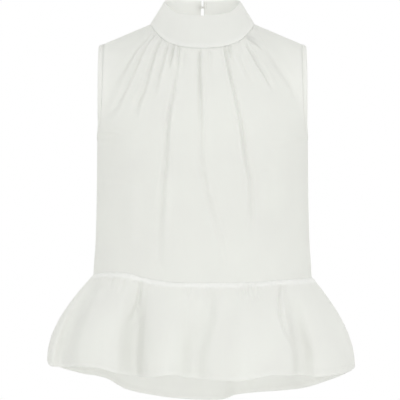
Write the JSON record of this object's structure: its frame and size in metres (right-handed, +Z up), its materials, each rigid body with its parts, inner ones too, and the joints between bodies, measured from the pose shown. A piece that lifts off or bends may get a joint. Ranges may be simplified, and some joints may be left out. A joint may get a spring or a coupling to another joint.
{
  "type": "sleeveless blouse",
  "caption": "Sleeveless blouse in worn, hollow form: high stand collar, gathered neckline, bound armholes and a flared dipped peplum.",
  "frame": {"origin": "middle of the neck base, level with the high shoulder points, where the wearer holds the blouse up", "axes": "+Z up, -Y out of the blouse's front, +X towards the viewer's right as it is seen from the front"},
  "size_m": [0.509, 0.3375, 0.6782],
  "materials": {
    "cloth": "matte off-white crepe",
    "button": "satin off-white resin",
    "thread": "matte off-white twisted thread"
  },
  "bodies": {
    "root": {"front": "cloth", "back": "cloth", "collar": "cloth", "peplum_front": "cloth", "peplum_back": "cloth", "armhole_binding_left": "cloth", "armhole_binding_right": "cloth", "collar_button": "button", "button_loop": "thread"}
  },
  "joints": []
}
